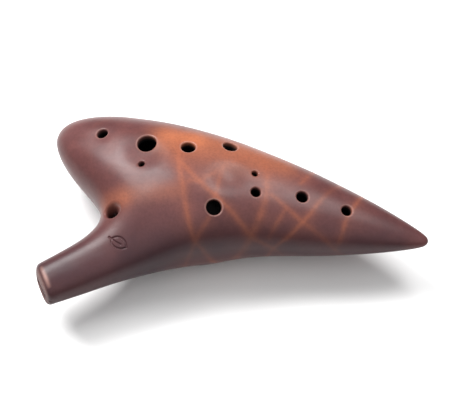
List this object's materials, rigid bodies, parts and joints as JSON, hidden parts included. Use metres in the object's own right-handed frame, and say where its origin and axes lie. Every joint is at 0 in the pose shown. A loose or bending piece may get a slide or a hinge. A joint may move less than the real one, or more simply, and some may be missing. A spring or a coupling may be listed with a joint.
{
  "type": "ocarina",
  "caption": "Transverse alto ocarina in fired clay with an angled mouthpiece, finger and thumb holes, a windway with labium, and a strap hole.",
  "frame": {"origin": "under the middle of the bounding box, at the lowest point of the belly", "axes": "+X along the chamber to the pointed tail, +Y away from the mouthpiece, +Z out of the finger-hole face"},
  "size_m": [0.1846, 0.1034, 0.0478],
  "materials": {
    "fired_clay": "straw-fired, burnished satin mauve-brown with orange flash marks",
    "joining_slip": "the same clay, burnished flush"
  },
  "bodies": {
    "root": {"upper_shell": "fired_clay", "lower_shell": "fired_clay", "strap_post": "fired_clay", "labium": "fired_clay", "windway_roof": "fired_clay", "windway_floor": "fired_clay", "seam_slip": "joining_slip", "mouthpiece_slip": "joining_slip"}
  },
  "joints": []
}
